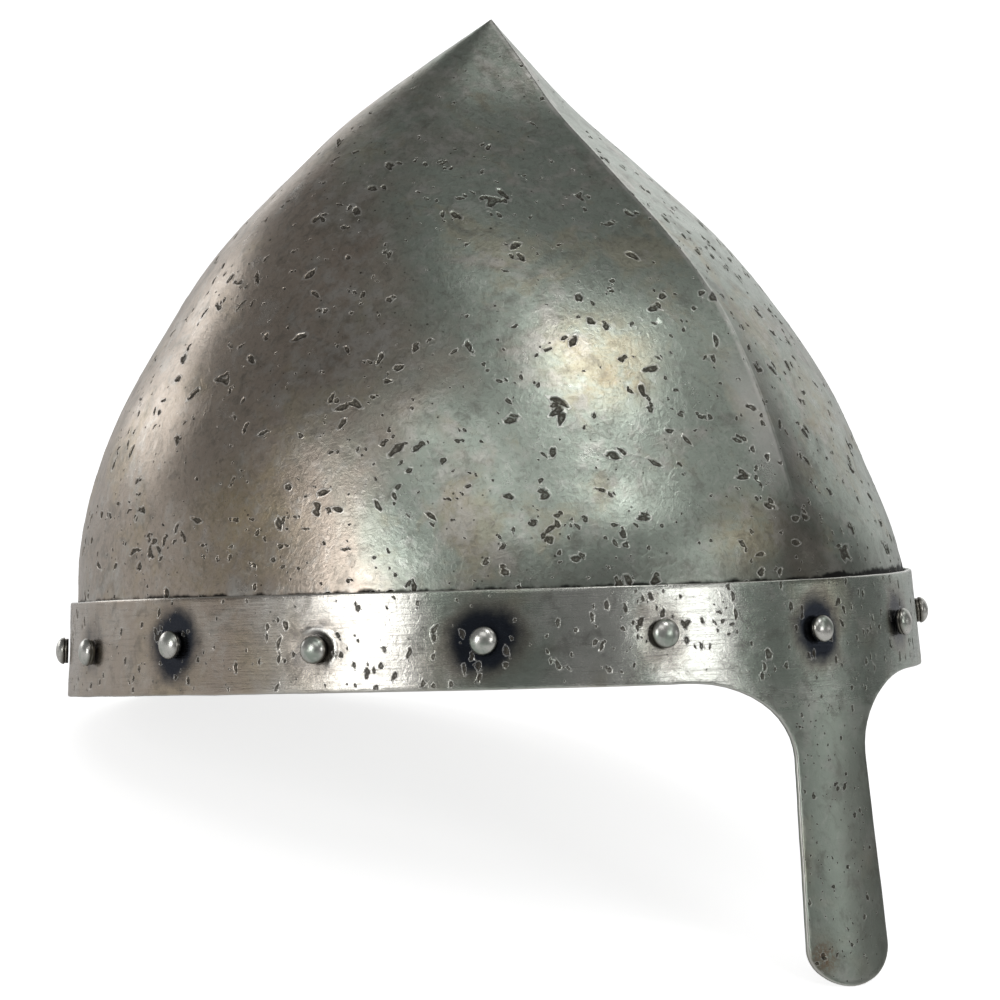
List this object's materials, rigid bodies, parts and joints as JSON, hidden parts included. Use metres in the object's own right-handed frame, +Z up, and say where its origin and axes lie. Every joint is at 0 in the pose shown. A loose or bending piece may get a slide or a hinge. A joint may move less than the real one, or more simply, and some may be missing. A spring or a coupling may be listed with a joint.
{
  "type": "nasal helmet with a ridged one-piece skull and riveted brow band",
  "caption": "Ridged conical steel helmet with a riveted brow band that carries a nasal, lying on its nasal tip and the back of its rim.",
  "frame": {"origin": "middle of the bounding box on the floor that the helmet rests on", "axes": "+Z up, -Y towards the nasal and the wearer's front, +X towards the wearer's left; the helmet leans back about X until nasal tip and back rim both touch the floor"},
  "size_m": [0.2166, 0.262, 0.2013],
  "materials": {
    "skull": "worn, darkened and pitted steel sheet, satin, with brown and green-grey tarnish",
    "brow_band": "worn and pitted steel sheet, brushed along its length, with blue-black heat marks round the rivets",
    "rivet": "rubbed bright steel"
  },
  "bodies": {
    "root": {"skull": "skull", "brow_band": "brow_band", "rivet_01": "rivet", "rivet_02": "rivet", "rivet_03": "rivet", "rivet_04": "rivet", "rivet_05": "rivet", "rivet_06": "rivet", "rivet_07": "rivet", "rivet_08": "rivet", "rivet_09": "rivet", "rivet_10": "rivet", "rivet_11": "rivet", "rivet_12": "rivet", "rivet_13": "rivet", "rivet_14": "rivet", "rivet_15": "rivet", "rivet_16": "rivet"}
  },
  "joints": []
}
